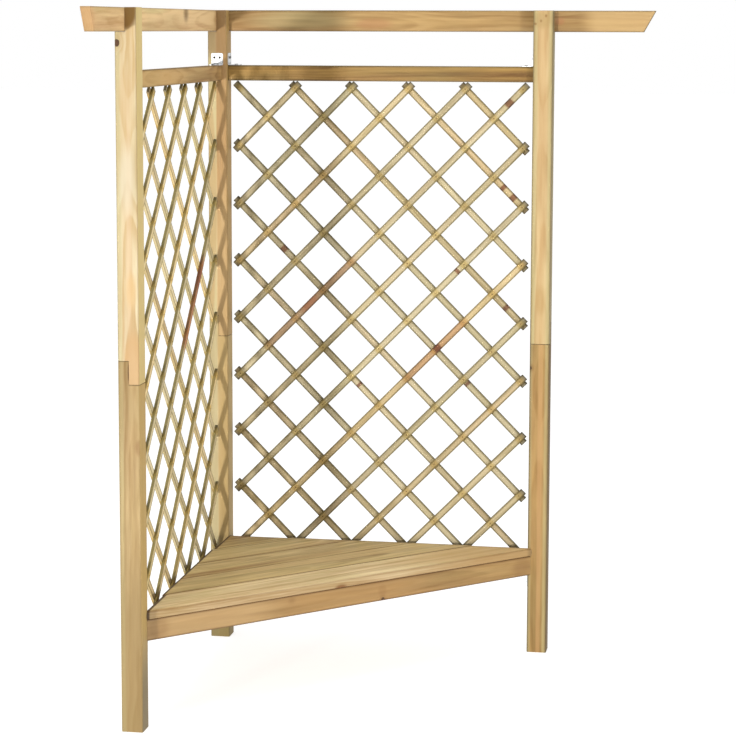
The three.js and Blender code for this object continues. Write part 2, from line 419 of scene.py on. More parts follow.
def add_knots(grain, places, radius):
    """Bends the rings round each knot. Gives their new radius, and each knot's cover, halo and tone."""
    tree = grain.tree
    knots = []
    for middle_along, middle_across, size in places:
        half_length = size * KNOT_LENGTH
        distance = oval_distance(grain.along, grain.across, middle_along, middle_across, half_length, size)
        distance = distance + (grain.noise(*KNOT_NOISE) - 0.5) * KNOT_WOBBLE
        radius = radius + distance.smooth(*BEND_REACH, size * BEND_SIZE, 0.0)
        rim = distance.smooth(*KNOT_RIM_RISE) * distance.smooth(*KNOT_RIM_END)
        ring = (distance * (size / KNOT_RING)).math("FRACT").smooth(*KNOT_RING_RAMP)
        heart = paint(tree, ring * KNOT_RING_DARKNESS, linear(*KNOT_HEART), KNOT_RIM)
        tone = paint(tree, rim, heart, KNOT_RIM)
        knots.append((distance.smooth(*KNOT_EDGE), distance.smooth(*KNOT_HALO), tone))
    return radius, knots


def wood_darkness(grain, wood, count, late, streak, fibre):
    """Rings of uneven strength, broad bands and fine streaks, from 0 for pale wood to 1 for dark wood."""
    tree = grain.tree
    ring_place = join(tree, count * RING_CHANGE[0], grain.along * RING_CHANGE[1], 0.0)
    strength = noise(tree, ring_place, 1.0).smooth(*RING_STRENGTH)
    band_place = join(tree, count * BAND_CHANGE[0], grain.along * BAND_CHANGE[1], 0.0)
    bands = noise(tree, stretch(tree, band_place, (1, 1, 1), grain.start), 2.0)
    fleck = grain.noise(*FLECK_NOISE)
    darkness = late * strength * wood.contrast + (bands.smooth(*BAND_RAMP) * wood.bands)
    darkness = darkness + (streak - 0.5) * STREAK_WEIGHT + (fleck - 0.5) * FLECK_WEIGHT
    darkness = darkness + (fibre - 0.5) * FIBRE_WEIGHT
    return darkness.math("MAXIMUM", 0.0).math("MINIMUM", 1.0)


def paint_patches(grain, patches, streak, colour):
    for patch in patches:
        distance = oval_distance(grain.along, grain.across, *patch[:4])
        if patch.depth:
            distance = oval_distance(distance, grain.deep, 0.0, patch.depth[0], 1.0, patch.depth[1])
        distance = distance + (streak - 0.5) * STAIN_RAGGEDNESS * (1 - patch.core)
        strength = distance.smooth(patch.core, 1.0, patch.strength, 0.0)
        colour = paint(grain.tree, strength, colour, patch.tone)
    return colour


def paint_lines(grain, wood, half_width, colour):
    """Dark lines in the joints and on the arrises, and painted shade along the edges and at the boards' ends.
    """
    tree = grain.tree
    darkness, width = wood.border
    from_edge = (grain.across.math("ABSOLUTE") * -1.0) + half_width
    colour = paint(tree, attribute(tree, "crease") * CREASE_DARKNESS, colour, CREASE_TONE)
    colour = paint(tree, from_edge.smooth(0.0, width, darkness, 0.0), colour, wood.line)
    if any(wood.ends):
        from_left, from_right, _ = split(tree, attribute(tree, "from_ends", "Vector"))
        colour = paint(tree, from_left.smooth(*LEFT_END_SHADE, wood.ends[0], 0.0), colour, CREASE_TONE)
        colour = paint(tree, from_right.smooth(*RIGHT_END_SHADE, wood.ends[1], 0.0), colour, CREASE_TONE)
    return paint(tree, attribute(tree, "rim"), colour, wood.line)


def softwood(name, wood, half_width):
    """The material of one timber, whose broad face reaches half_width to each side of its middle line."""
    material, tree, shader = new_material(name)
    grain = Grain(tree, wood.seed)
    radius, knots = add_knots(grain, wood.knots, pith_distance(grain, wood.pith))

    # Each ring goes from pale early wood to a darker late edge.
    count = radius / RING_WIDTH
    phase = count.math("FRACT")
    late = phase.smooth(*LATE_WOOD_RISE) * phase.smooth(*LATE_WOOD_END)
    fibre = grain.noise(*FIBRE_NOISE)
    streak = grain.noise(*STREAK_NOISE)
    darkness = wood_darkness(grain, wood, count, late, streak, fibre)
    colour = paint(tree, darkness, linear(*wood.pale), wood.dark)

    # Stains and painted shade, knots, sawn ends and lines lie over the rings.
    green = grain.noise(*GREEN_NOISE).smooth(*GREEN_RAMP) * wood.green
    colour = paint(tree, green, colour, GREEN_STAIN)
    red = grain.noise(*RED_NOISE, start=grain.red_start).smooth(*RED_RAMP) * wood.red
    colour = paint(tree, red, colour, RED_STAIN)
    colour = paint_patches(grain, wood.patches, streak, colour)
    for cover, halo, tone in knots:
        colour = paint(tree, halo, colour, wood.dark)
        colour = mix(tree, cover, colour, tone)
    end = attribute(tree, "end_cut")
    saw = grain.noise(*SAW_NOISE)
    colour = paint(tree, end * saw.smooth(*SAW_RAMP), colour, wood.end_tone)
    colour = paint_lines(grain, wood, half_width, colour)
    # The narrow faces' painted light and shade, then the tint that divides out how strongly the studio lights
    # the piece.
    shade = attribute(tree, "shade")
    colour = mix(tree, 1.0, colour, join(tree, shade, shade, shade), "MULTIPLY")
    colour = mix(tree, 1.0, colour, attribute(tree, "tint", "Color"), "MULTIPLY")
    plug(tree, colour, shader.inputs["Base Color"])

    # Late wood and fibres stand a little proud, and sawn ends are coarse.
    roughness = fibre * FIBRE_ROUGHNESS + late * LATE_ROUGHNESS + WOOD_ROUGHNESS
    plug(tree, roughness, shader.inputs["Roughness"])
    shader.inputs["Specular IOR Level"].default_value = WOOD_GLOSS
    bump = tree.nodes.new("ShaderNodeBump")
    bump.inputs["Strength"].default_value = wood.relief
    bump.inputs["Distance"].default_value = RELIEF_DEPTH
    plug(tree, late * LATE_RELIEF + fibre * FIBRE_RELIEF + end * saw, bump.inputs["Height"])
    tree.links.new(bump.outputs["Normal"], shader.inputs["Normal"])
    return material


# Pieces: a mesh drawn with bmesh becomes an object on the fixed body.
WELD = 0.01 * MM
SAWN_EASE = 0.8 * MM
SHARP = math.radians(60)
SMOOTH = math.radians(32)
FLAT = math.radians(0.5)


def own_shape(node):
    """The node's own shape, with one face for each flat side."""
    shape = bmesh.new()
    shape.from_mesh(nodes[node].data)
    bmesh.ops.remove_doubles(shape, verts=shape.verts, dist=WELD)
    bmesh.ops.dissolve_limit(shape, angle_limit=FLAT, verts=shape.verts, edges=shape.edges)
    return shape


def to_mesh(shape, name):
    mesh = bpy.data.meshes.new(name)
    shape.to_mesh(mesh)
    shape.free()
    return mesh


def smooth_bends(mesh):
    """Shades gentle bends round and leaves corners sharp."""
    mesh.shade_smooth()
    mesh.set_sharp_from_angle(angle=SMOOTH)


def add_piece(name, mesh, node=None):
    piece = add_object(name, mesh)
    if node:
        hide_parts(node)
    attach(piece, "root")


def bridge(shape, rings):
    """Joins each ring of vertices to the next with a band of faces."""
    faces = []
    for first, second in zip(rings, rings[1:]):
        for index in range(len(first)):
            after = (index + 1) % len(first)
            faces.append(shape.faces.new((first[index], first[after], second[after], second[index])))
    return faces


# Timber pieces: each keeps the solid's shape, gets its sawn edges eased, and carries grain coordinates.
# The limits are shares of a face's normal: along the grain for a sawn end and for a sloping face in a
# joint, along any direction for a face that is square, and through the thickness for a broad face.
END_SLOPE = 0.6
CREASE_SLOPE = 0.2
SQUARE = 0.97
# Faces that look through the thickness more than this are broad; narrower faces get the wood's painted light
# and shade.
BROAD_FROM = 0.7


def write_values(mesh, name, kind, domain, field, values):
    """Stores a number or a vector for each vertex or each face of a mesh."""
    mesh.attributes.new(name, kind, domain).data.foreach_set(field, values)


def write_grain(mesh, origin, basis, light):
    """Each vertex's grain coordinates, its distance from a board's left and right end, and its tint."""
    places = [vertex.co.copy() for vertex in mesh.vertices]
    left_end = min(place.x for place in places)
    right_end = min(-place.y for place in places)
    grain = [(place - origin).dot(axis) for place in places for axis in basis]
    from_ends = [value for place in places for value in (place.x - left_end, -place.y - right_end, 0)]
    tint = [1 / light, 1 / light, 1 / light, 1] * len(places)
    write_values(mesh, "grain", "FLOAT_VECTOR", "POINT", "vector", grain)
    write_values(mesh, "from_ends", "FLOAT_VECTOR", "POINT", "vector", from_ends)
    write_values(mesh, "tint", "FLOAT_COLOR", "POINT", "color", tint)


def write_faces(mesh, basis, creases, wood):
    """Each face's arris darkness, its painted light and shade by the way it faces, and whether it is cut
    across the grain or in a joint.
    """
    values = {"rim": [], "shade": [], "end_cut": [], "crease": []}
    for face in mesh.polygons:
        slope, aside, depth = [abs(face.normal.dot(axis)) for axis in basis]
        squareness = max(slope, aside, depth)
        broad = max(0.0, depth - BROAD_FROM) / (1 - BROAD_FROM)
        in_joint = any(low < face.center.z < high for low, high in creases)
        values["rim"].append(wood.arris if squareness < SQUARE else 0.0)
        values["shade"].append(wood.edge + (1 - wood.edge) * broad)
        values["end_cut"].append(1.0 if slope > END_SLOPE else 0.0)
        values["crease"].append(1.0 if in_joint and CREASE_SLOPE < slope < SQUARE else 0.0)
    for name, numbers in values.items():
        write_values(mesh, name, "FLOAT", "FACE", "value", numbers)


def middle_along(mesh, basis):
    """The middle of a mesh, measured along the three directions of its grain."""
    origin = Vector()
    for axis in basis:
        places = [vertex.co.dot(axis) for vertex in mesh.vertices]
        origin += axis * (min(places) + max(places)) / 2
    return origin


def dress(node, along, across, wood, creases=()):
    """A piece with the node's own shape, its sharp cuts eased, in the given wood."""
    basis = (along, across, along.cross(across))
    shape = own_shape(node)
    sharp = [edge for edge in shape.edges if len(edge.link_faces) == 2 and edge.calc_face_angle() > SHARP]
    bmesh.ops.bevel(shape, geom=sharp, offset=SAWN_EASE, segments=2, profile=0.5, affect="EDGES",
                    clamp_overlap=True)
    mesh = to_mesh(shape, node + "_timber")
    smooth_bends(mesh)
    origin = middle_along(mesh, basis)
    write_grain(mesh, origin, basis, wood.light)
    write_faces(mesh, basis, creases, wood)
    half_width = max(abs((vertex.co - origin).dot(across)) for vertex in mesh.vertices)
    mesh.materials.append(softwood(node + "_wood", wood, half_width))
    add_piece(node + "_timber", mesh, node)


# Pale and dark tone of each kind of timber, as seen on the piece
CREAM_POST = ((250, 234, 194), (218, 186, 132))
PALE_POST = ((238, 212, 156), (196, 160, 102))
TAN_POST = ((216, 184, 127), (160, 122, 68))
ORANGE_POST = ((212, 171, 101), (160, 116, 56))
CORNER_POST = ((224, 198, 146), (186, 150, 98))
BEAM = ((226, 192, 140), (168, 128, 76))
ORANGE_BEAM = ((220, 180, 114), (164, 120, 64))
RAIL = ((212, 172, 110), (150, 108, 56))
APRON_TONES = ((214, 170, 104), (152, 106, 52))
BEARER = ((186, 164, 102), (126, 106, 58))
BROWN_RAIL = ((190, 149, 78), (124, 85, 32))
DARK_RAIL = ((110, 84, 48), (78, 56, 30))
PALE_BOARD = ((226, 207, 164), (170, 142, 96))
BROWN_BOARD = ((206, 180, 123), (134, 104, 57))

# Tones of stains; BROWN is also the tone of painted shade
GREENISH = (206, 192, 136)
GREY_GREEN = (200, 186, 138)
ORANGE = (222, 172, 112)
PINKISH = (238, 204, 160)
BROWN = (164, 118, 66)
RED_FIGURE = (196, 132, 84)

# Half sizes of stains that cover a timber's whole length or width
ALL_ALONG = 5.0
ALL_ACROSS = 0.2

# A place just outside the right-hand side face of a post, and how far a stain reaches from there
SIDE_FACE = 30.5 * MM
SIDE_REACH = 2.5 * MM


def strip(across, half_width, tone, strength, core=0.35):
    """A stain that runs all along the timber."""
    return Patch(0.0, across, ALL_ALONG, half_width, tone, strength, core)


def zone(along, half_length, tone, strength, core=0.35):
    """A patch of colour right across the timber: a stain, or painted shade where so noted."""
    return Patch(along, 0.0, half_length, ALL_ACROSS, tone, strength, core)


def side_patch(tone, along=0.0, half_length=ALL_ALONG, strength=0.9, core=0.6):
    """A patch of colour on a post's right-hand side face alone: a stain, or painted shade where so noted."""
    return Patch(along, SIDE_FACE, half_length, SIDE_REACH, tone, strength, core)


# Each timber's look. Places along a post go up from its middle, and along the others to the right.
LEFT_UPPER = Wood(
    *CREAM_POST, light=2.25, edge=1.5, pith=(0.01, 0.05), seed=4, contrast=0.6,
    knots=[(0.41, -0.024, 0.0075)],
    patches=[
        strip(-0.024, 0.012, GREENISH, 0.5),
        Patch(-0.08, 0.004, 0.45, 0.012, PINKISH, 0.5),
        Patch(0.27, 0.0, 0.09, 0.03, (222, 188, 136), 0.5),
        Patch(0.05, 0.0, 0.13, 0.03, (242, 228, 198), 0.6),
        Patch(-0.25, 0.008, 0.07, 0.02, (240, 200, 138), 0.6),
        Patch(-0.46, 0.012, 0.12, 0.03, (222, 180, 124), 0.9, 0.6),
        # A dark brown patch on the tongue's front beside the beam: painted shadow that deepens the beam's
        # cast shadow there, with a browner tone.
        Patch(0.495, 0.0, 0.055, 0.034, (168, 122, 44), 0.85, 0.7),
        strip(0.033, 0.0045, (244, 216, 142), 0.9, 0.8),
    ])
LEFT_LOWER = Wood(
    *TAN_POST, light=2.3, edge=1.8, pith=(0.02, 0.06), seed=3, contrast=0.55,
    patches=[
        # Painted shade: the post darkens towards its foot.
        zone(-0.5, 0.6, (168, 138, 84), 0.7, 0.5),
        strip(-0.024, 0.012, GREENISH, 0.3),
        Patch(0.278, 0.03, 0.03, 0.02, BROWN, 0.5),
        Patch(0.481, -0.0015, 0.036, 0.002, (112, 76, 34), 0.9, 0.6),
        side_patch((200, 166, 100)),
        # Painted shade on the side face at the foot.
        side_patch((126, 111, 82), -0.6, 0.42, 0.95, 0.5),
    ])
RIGHT_UPPER = Wood(
    *PALE_POST, light=2.2, border=(0.42, 0.009), pith=(0.004, 0.035), seed=6,
    patches=[
        strip(-0.026, 0.014, GREENISH, 0.6),
        strip(0.026, 0.012, GREENISH, 0.6),
        strip(0.0, 0.02, ORANGE, 0.35, 0.1),
        Patch(0.476, 0.0, 0.036, 0.05, (190, 160, 100), 0.55),
        Patch(0.488, 0.008, 0.006, 0.005, BROWN, 0.8),
        Patch(0.473, -0.007, 0.006, 0.005, BROWN, 0.7),
        Patch(0.464, -0.024, 0.006, 0.006, BROWN, 0.8),
        Patch(-0.37, 0.0, 0.06, 0.02, (204, 166, 104), 0.6),
    ])
RIGHT_LOWER = Wood(
    *ORANGE_POST, light=2.3, border=(0.6, 0.009), pith=(0.0, 0.055), seed=5,
    knots=[(0.376, -0.027, 0.0042)],
    patches=[
        strip(0.004, 0.01, ORANGE, 0.5),
        strip(-0.028, 0.01, GREENISH, 0.5),
        strip(0.022, 0.008, GREENISH, 0.5),
    ])
CORNER_UPPER = Wood(
    *CORNER_POST, light=1.7, edge=1.2, pith=(-0.012, 0.02), seed=2, red=0.3, green=0.2,
    patches=[
        strip(0.02, 0.026, (180, 140, 88), 0.85, 0.75),
        strip(-0.026, 0.024, GREY_GREEN, 0.8, 0.8),
        Patch(-0.5, 0.02, 0.62, 0.03, (202, 168, 114), 0.7, 0.6),
        # Darker towards the top.
        zone(0.5, 0.16, (140, 108, 64), 0.7, 0.7),
        Patch(-0.11, -0.026, 0.4, 0.024, (186, 152, 98), 0.65, 0.8),
        side_patch((190, 152, 88)),
    ])
CORNER_LOWER = Wood(
    *CORNER_POST, light=2.0, edge=1.2, pith=(0.004, 0.012), seed=1, red=0.2, green=0.3,
    patches=[
        strip(0.02, 0.026, (202, 169, 106), 0.8, 0.75),
        Patch(-0.25, 0.02, 0.3, 0.03, (176, 146, 88), 0.5, 0.5),
        side_patch((216, 184, 122)),
        strip(-0.026, 0.024, GREY_GREEN, 0.7, 0.8),
        # Painted shadow at the foot, under the bench.
        zone(-0.5, 0.27, (130, 112, 60), 0.85, 0.8),
    ])
LEFT_BEAM = Wood(
    *BEAM, light=1.38, contrast=0.3, arris=0.1, edge=0.8, border=(0.4, 0.006), pith=(0.0, 0.06), seed=7,
    end_tone=(196, 156, 106),
    patches=[
        Patch(-0.258, 0.02, 0.04, 0.04, (112, 84, 42), 0.75, 0.1),
        Patch(0.684, 0.0, 0.05, 0.06, (198, 148, 98), 0.5),
        # Painted shade at the beam's rear end, by the corner post.
        Patch(-0.64, 0.0, 0.06, 0.06, BROWN, 0.6),
        Patch(0.1, 0.03, 0.2, 0.02, GREENISH, 0.5),
    ])
RIGHT_BEAM = Wood(
    *ORANGE_BEAM, light=2.5, border=(0.5, 0.006), pith=(-0.01, 0.06), seed=8,
    patches=[
        Patch(0.383, 0.0, 0.02, 0.016, RED_FIGURE, 0.6),
        Patch(-0.186, -0.01, 0.075, 0.022, RED_FIGURE, 0.45),
        Patch(-0.42, 0.0, 0.2, 0.04, GREENISH, 0.4),
        zone(0.6, 0.17, (244, 204, 138), 0.65, 0.6),
    ])
LEFT_RAIL = Wood(*RAIL, light=1.68, pith=(0.0, 0.05), seed=9, red=0.4, green=0.3, border=(0.45, 0.006))
RIGHT_RAIL = Wood(*BROWN_RAIL, light=2.1, pith=(0.03, 0.05), seed=10, border=(0.65, 0.009))
LEFT_BENCH_RAIL = Wood(*DARK_RAIL, pith=(0.02, 0.05), seed=11)
RIGHT_BENCH_RAIL = Wood(*DARK_RAIL, pith=(0.02, 0.05), seed=12)
# The dark line along the apron's top edge is painted shadow under the seat's nosing.
APRON = Wood(
    *APRON_TONES, light=2.45, border=(0.85, 0.007), line=BROWN_LINE, pith=(0.0, 0.06), seed=13,
    knots=[(0.118, -0.025, 0.0045)],
    patches=[
        zone(-0.5, 0.35, (236, 196, 136), 0.6, 0.4),
        zone(0.02, 0.32, (214, 168, 104), 0.6, 0.5),
        Patch(0.116, 0.0, 0.02, 0.026, (176, 124, 68), 0.3),
        Patch(-0.201, 0.016, 0.02, 0.014, BROWN, 0.4, 0.0),
        Patch(-0.64, 0.0, 0.05, 0.05, BROWN, 0.4),
        Patch(0.64, 0.0, 0.05, 0.05, BROWN, 0.4),
    ])
CENTRE_BEARER = Wood(*BEARER, light=1.5, pith=(0.02, 0.05), seed=14)
# Painted shade at the seat boards' left and right ends: the shadow in the gap between their ends and the
# trellis.
BOARD_END_SHADE = (0.95, 0.35)
FRONT_BOARD = Wood(
    *PALE_BOARD, light=0.68, arris=0.2, edge=0.52, border=(0.35, 0.006), line=BROWN_LINE,
    pith=(0.01, -0.09), contrast=0.25, red=0.05, seed=15, ends=BOARD_END_SHADE,
    patches=[
        zone(0.6, 0.5, (176, 144, 90), 0.75, 0.3),
        Patch(-0.033, -0.067, 0.03, 0.02, (118, 76, 34), 0.9, 0.35, depth=(-0.012, 0.014)),
    ])


def brown_board(pith, seed, arris=0.3, border=(0.15, 0.006)):
    return Wood(*BROWN_BOARD, light=0.9, arris=arris, edge=0.8, border=border, line=BROWN_LINE,
                ends=BOARD_END_SHADE, pith=pith, seed=seed)


# Directions of the bench: along its front edge to the right, and from that edge to the corner post
FRONT = Vector((1, 1, 0)).normalized()
INWARD = Vector((-1, 1, 0)).normalized()

# Each timber's grain direction, the direction across its visible face, its look and its slot
TIMBERS = {
    "corner_post_lower": (Z, X, CORNER_LOWER, "post_pine"),
    "corner_post_upper": (Z, X, CORNER_UPPER, "post_pine"),
    "left_post_lower": (Z, X, LEFT_LOWER, "post_pine"),
    "left_post_upper": (Z, X, LEFT_UPPER, "post_pine"),
    "right_post_lower": (Z, X, RIGHT_LOWER, "post_pine"),
    "right_post_upper": (Z, X, RIGHT_UPPER, "post_pine"),
    "left_top_beam": (-Y, Z, LEFT_BEAM, "beam_pine"),
    "right_top_beam": (X, Z, RIGHT_BEAM, "beam_pine"),
    "left_trellis_rail": (-Y, Z, LEFT_RAIL, "rail_pine"),
    "right_trellis_rail": (X, Z, RIGHT_RAIL, "rail_pine"),
    "left_bench_rail": (-Y, Z, LEFT_BENCH_RAIL, "rail_pine"),
    "right_bench_rail": (X, Z, RIGHT_BENCH_RAIL, "rail_pine"),
    "bench_apron": (FRONT, Z, APRON, "rail_pine"),
    "bench_centre_bearer": (INWARD, Z, CENTRE_BEARER, "rail_pine"),
    "seat_board_1": (FRONT, INWARD, FRONT_BOARD, "front_board_pine"),
    "seat_board_2": (FRONT, INWARD, brown_board((-0.02, -0.08), 16, 0.6, (0.35, 0.01)), "seat_board_pine"),
    "seat_board_3": (FRONT, INWARD, brown_board((0.03, -0.07), 17), "seat_board_pine"),
    "seat_board_4": (FRONT, INWARD, brown_board((0.0, -0.09), 18), "seat_board_pine"),
    "seat_board_5": (FRONT, INWARD, brown_board((0.02, -0.08), 19), "seat_board_pine"),
}

# Heights between which a post's sloping faces are dark joints: the halved joint and the beam's notch
POST_JOINTS = ((0.95, 1.04), (1.9, 1.912))


def add_timbers():
    for node, (along, across, wood, slot) in TIMBERS.items():
        dress(node, along, across, wood, POST_JOINTS if "post" in node else ())


# Trellis: 24 sawn slats a panel, in two crossed layers that are pressed a little into each other, with a
# nail at every crossing
TRELLIS_ACROSS = 5
TRELLIS_DOWN = 8
SLAT_WIDTH = 21 * MM
SLAT_TAIL = 20 * MM
SLAT_THICKNESS = 8 * MM
SLAT_PRESSED = 0.4 * MM
SLAT_EASE = 0.7 * MM

# Dark sawn rims along a slat's faces: how far in they reach, how wide their even part is, and how dark. The
# upper thickness face is darker than the lower one as painted shade.
RIM_WIDTH = 5.4 * MM
RIM_BAND = 2.8 * MM
FACE_RIM = 0.72
UPPER_RIM = 0.95
LOWER_RIM = 0.4
# How far from each end a slat darkens and how dark its end gets: dark end grain, and painted shade.
DARK_END = 18 * MM
END_DARKNESS = 0.35
SLAT_WOOD = Wood((200, 182, 142), (150, 132, 94), pith=(0.0, -0.06), seed=20, bands=0.4, border=(0.0, 0.005),
                 line=(100, 88, 46), end_tone=(66, 54, 32), relief=0.12)

# How strongly the studio lights each panel, and how much single slats differ
SLAT_LIGHT = {"left": 0.95, "right": 1.62}
SEED = 11
LIGHT_RANGE = (0.9, 1.06)
WARM_RED = 0.05
WARM_BLUE = 0.08
GRAIN_SHIFT = 40
PITH_SHIFT = 30 * MM

RED_MARK = (0.8, 0.44, 0.32)
PINK_MARK = (0.8, 0.63, 0.58)
FAINT_RED_MARK = (0.94, 0.66, 0.58)
DULL_RED_MARK = (0.7, 0.5, 0.45)
KNOT_MARK = (0.4, 0.22, 0.15)

# Half length, run-out and tint of the painted shade round every crossing, where one slat shades the other
CROSSING_SHADE = (8, 8, (0.9, 0.8, 0.5))

# Marks on single slats, in mm: (place along the slat, half length, run-out at each end, tint)
SLAT_MARKS = {
    ("right", 4): [(-307, 187, 25, PINK_MARK), (-310, 20, 20, FAINT_RED_MARK), (568, 10, 6, KNOT_MARK)],
    ("right", 6): [(347, 4, 4, KNOT_MARK)],
    ("right", 7): [(250, 120, 30, PINK_MARK), (261, 9, 7, KNOT_MARK)],
    ("right", 16): [(-89, 3, 4, KNOT_MARK)],
    ("right", 17): [(-428, 7, 6, KNOT_MARK)],
    ("right", 18): [(394, 3, 4, KNOT_MARK)],
    ("right", 20): [(435, 5, 5, KNOT_MARK)],
    ("right", 22): [(168, 5, 4, KNOT_MARK), (211, 7, 5, KNOT_MARK)],
    ("left", 6): [(240, 150, 40, RED_MARK), (330, 25, 20, DULL_RED_MARK)],
}


def trellis_lines():
    """Each slat as its two end crossings in half pitches, and whether it rises to the right."""
    columns, rows = 2 * TRELLIS_ACROSS, 2 * TRELLIS_DOWN
    for total in range(2, columns + rows, 2):
        first, last = max(0, total - rows), min(columns, total)
        yield (first, total - first), (last, total - last), True
    for difference in range(2 - rows, columns, 2):
        first, last = max(0, difference), min(columns, rows + difference)
        yield (first, first - difference), (last, last - difference), False


def slat_stations(length, crossings, marks):
    """Places along a slat where its section is drawn, each with its tint: ends darkened as end grain and as
    painted shade, painted shade round the crossings, and marks.
    """
    half = length / 2
    stains_and_shade = [(place / MM, *CROSSING_SHADE) for place in crossings] + marks
    places = [0.0, half - DARK_END, half - SLAT_EASE, half]
    places += [-place for place in places[1:]]
    for centre, core, run_out, _ in stains_and_shade:
        places += [(centre + offset) * MM for offset in (-core - run_out, -core, core, core + run_out)]
    stations = []
    for place in sorted(place for place in places if abs(place) <= half):
        if stations and place - stations[-1][0] < SLAT_EASE / 2:
            continue
        dark = END_DARKNESS + (1 - END_DARKNESS) * min(1, (half - abs(place)) / DARK_END)
        tint = [dark, dark, dark]
        for centre, core, run_out, stain_and_shade in stains_and_shade:
            fade = min(1, max(0, (abs(place / MM - centre) - core) / run_out))
            tint = [value * (part + (1 - part) * fade) for value, part in zip(tint, stain_and_shade)]
        stations.append((place, tint))
    return stations


class SlatMesh:
    """Builds all slats of a panel in one mesh, with grain coordinates, tints, dark rims, partly painted
    shade, and end cuts.
    """

    def __init__(self):
        self.shape = bmesh.new()
        self.grain = self.shape.verts.layers.float_vector.new("grain")
        self.tint = self.shape.verts.layers.float_color.new("tint")
        self.rim = self.shape.verts.layers.float.new("rim")
        self.shade = self.shape.verts.layers.float.new("shade")
        self.end = self.shape.faces.layers.float.new("end_cut")

    def section(self, inset):
        """Corners of the slat's section in order, each as (across, deep, rim darkness)."""
        wide, deep = SLAT_WIDTH / 2 - inset, SLAT_THICKNESS / 2 - inset
        inner = SLAT_WIDTH / 2 - RIM_WIDTH
        edge = wide - SLAT_EASE
        band = edge - RIM_BAND
        face = [(-edge, deep, FACE_RIM), (-band, deep, FACE_RIM), (-inner, deep, 0.0),
                (inner, deep, 0.0), (band, deep, FACE_RIM), (edge, deep, FACE_RIM)]
        upper = [(wide, deep - SLAT_EASE, UPPER_RIM), (wide, SLAT_EASE - deep, UPPER_RIM)]
        lower = [(-wide, SLAT_EASE - deep, LOWER_RIM), (-wide, deep - SLAT_EASE, LOWER_RIM)]
        return face + upper + [(-across, -depth, rim) for across, depth, rim in face] + lower

    def add(self, place, basis, stations, tint, shift):
        lie, up, outward = basis
        rings = []
        for index, (along, stain_and_shade) in enumerate(stations):
            inset = SLAT_EASE if index in (0, len(stations) - 1) else 0
            ring = []
            for across, deep, rim in self.section(inset):
                vert = self.shape.verts.new(place + lie * along + up * across + outward * deep)
                vert[self.grain] = (along + shift[0], across + shift[1], deep)
                vert[self.tint] = (*[a * b for a, b in zip(tint, stain_and_shade)], 1)
                vert[self.rim] = rim
                vert[self.shade] = 1.0
                ring.append(vert)
            rings.append(ring)
        bridge(self.shape, rings)
        for ring in (rings[0], rings[-1]):
            face = self.shape.faces.new(ring)
            face[self.end] = 1.0


class Lattice:
    """Where the slats of a panel cross, in half pitches, worked out from the box of its node."""

    def __init__(self, node, side):
        low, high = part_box(node)
        centre = (low + high) / 2
        overhang = (SLAT_TAIL + SLAT_WIDTH / 2) / math.sqrt(2)
        self.across = X if side == "right" else Y
        self.outward = Y if side == "right" else -X
        self.half_across = (max(high.x - low.x, high.y - low.y) - 2 * overhang) / (2 * TRELLIS_ACROSS)
        self.half_down = (high.z - low.z - 2 * overhang) / (2 * TRELLIS_DOWN)
        self.top = Vector((centre.x, centre.y, high.z - overhang))

    def flat(self, column, row):
        """A place on the panel's own face, measured across and up from the middle of its top row."""
        return Vector(((column - TRELLIS_ACROSS) * self.half_across, -row * self.half_down))

    def slat_place(self, first, last, layer):
        """The middle of a slat between two places on the face, in its layer."""
        aside = self.across * (first.x + last.x) / 2
        return self.top + aside + Z * (first.y + last.y) / 2 + self.outward * layer

    def slat_basis(self, run):
        """A slat's directions: along its run to the right, up across it, and out of the panel."""
        lie = (run.normalized().x * self.across + run.normalized().y * Z).normalized()
        up = self.outward.cross(lie) * (1 if self.outward.cross(lie).z > 0 else -1)
        return lie, up, self.outward

    def crossings(self):
        """All places where two slats cross, column by column."""
        places = []
        for column in range(2 * TRELLIS_ACROSS + 1):
            head = self.top + self.across * (column - TRELLIS_ACROSS) * self.half_across
            for row in range(column % 2, 2 * TRELLIS_DOWN + 1, 2):
                places.append(head - Z * row * self.half_down)
        return places


def trellis_panel(node, side):
    """A panel of slats that differ a little in warmth, light and figure, and its nails."""
    lattice = Lattice(node, side)
    draw = random.Random(SEED + (side == "right"))
    slats = SlatMesh()
    for index, (start, stop, rising) in enumerate(trellis_lines()):
        first, last = lattice.flat(*start), lattice.flat(*stop)
        run = last - first
        layer = (-1 if rising else 1) * (SLAT_THICKNESS - SLAT_PRESSED) / 2
        place = lattice.slat_place(first, last, layer)
        steps = stop[0] - start[0]
        crossings = [run.length * (step / steps - 0.5) for step in range(steps + 1)]
        stations = slat_stations(run.length + 2 * SLAT_TAIL, crossings, SLAT_MARKS.get((side, index), []))
        warmth = draw.uniform(-1, 1)
        light = draw.uniform(*LIGHT_RANGE)
        warm = (1 + WARM_RED * warmth, 1, 1 - WARM_BLUE * warmth)
        tint = [value * light / SLAT_LIGHT[side] for value in warm]
        shift = (draw.uniform(0, GRAIN_SHIFT), draw.uniform(-PITH_SHIFT, PITH_SHIFT))
        slats.add(place, lattice.slat_basis(run), stations, tint, shift)
    bmesh.ops.recalc_face_normals(slats.shape, faces=slats.shape.faces)
    mesh = to_mesh(slats.shape, side + "_trellis_slats")
    mesh.materials.append(bpy.data.materials.get("slat_wood") or softwood("slat_wood", SLAT_WOOD, SLAT_WIDTH))
    add_piece(side + "_trellis_slats", mesh, node)
    add_nails(side, lattice)


# Fasteners: a nail at every trellis crossing and two cross-recess screws in each bracket leg
WEAR_FINENESS = (700, 700, 700)
WEAR_RAMP = (0.35, 0.7)
WEAR_DULLING = 0.7
WEAR_ROUGHNESS = 0.2

# Detail and roughness of the metals' noise
WEAR_NOISE = (2.0, 0.6)
SPANGLE_NOISE = (3.0, 0.6)
BRUSHED_NOISE = (2.0, 0.6)

